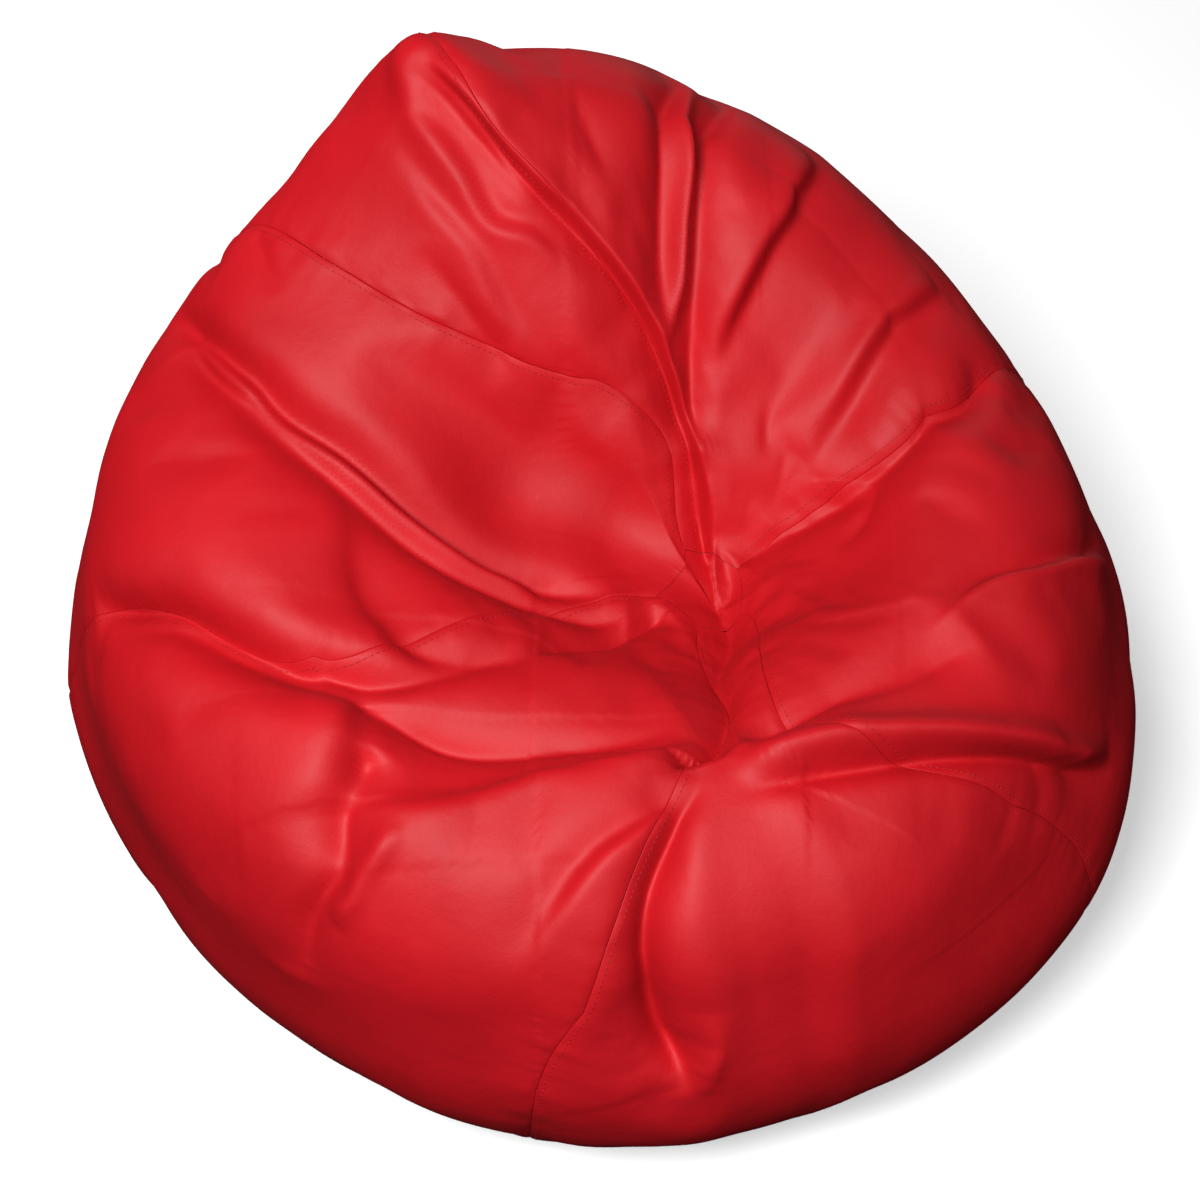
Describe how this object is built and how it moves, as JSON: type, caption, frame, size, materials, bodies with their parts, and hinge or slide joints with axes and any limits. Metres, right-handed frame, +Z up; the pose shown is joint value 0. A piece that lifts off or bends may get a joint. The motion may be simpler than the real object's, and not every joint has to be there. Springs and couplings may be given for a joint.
{
  "type": "bean bag chair",
  "caption": "Slumped leatherette bean bag chair: gores, top cap and base over a bead-filled liner, with a seat hollow, a raised back and a zip in the back seam.",
  "frame": {"origin": "on the floor under the middle of the bag's bounding box", "axes": "+Z up, the open front of the seat faces -Y, +X is the bag's width and longest side"},
  "size_m": [0.9806, 0.9236, 0.684],
  "materials": {
    "leatherette": "satin red leatherette",
    "liner_cloth": "plain woven off-white cloth",
    "beads": "white foam beads",
    "closure_tape": "matt hook and loop tape",
    "zip_tape": "dark red woven tape",
    "zip_teeth": "moulded red plastic",
    "zip_metal": "nickel plated",
    "label_satin": "white satin ribbon, blank"
  },
  "bodies": {
    "bag": {"front_panel": "leatherette", "right_panel": "leatherette", "back_panel": "leatherette", "back_left_panel": "leatherette", "left_panel": "leatherette", "front_left_panel": "leatherette", "top_cap": "leatherette", "base_panel": "leatherette", "liner_front": "liner_cloth", "liner_back": "liner_cloth", "bead_fill": "beads", "liner_closure_hook_strip": "closure_tape", "liner_closure_loop_strip": "closure_tape", "zip_tape_left": "zip_tape", "zip_tape_right": "zip_tape", "zip_teeth_left": "zip_teeth", "zip_teeth_right": "zip_teeth", "zip_top_stop": "zip_metal", "zip_bottom_stop": "zip_metal", "care_label": "label_satin"},
    "slider": {"zip_slider": "zip_metal"},
    "pull": {"zip_pull": "zip_metal"}
  },
  "joints": [
    {"name": "zip_slide", "type": "slide", "parent": "bag", "child": "slider", "axis": [-0.1161, 0.2183, -0.9689], "range_m": [0, 0.28]},
    {"name": "pull_swing", "type": "hinge", "parent": "slider", "child": "pull", "pos_m": [-0.17689, 0.3344, 0.54405], "axis": [0.9189, 0.394, -0.0213], "range_deg": [0, 150]}
  ]
}
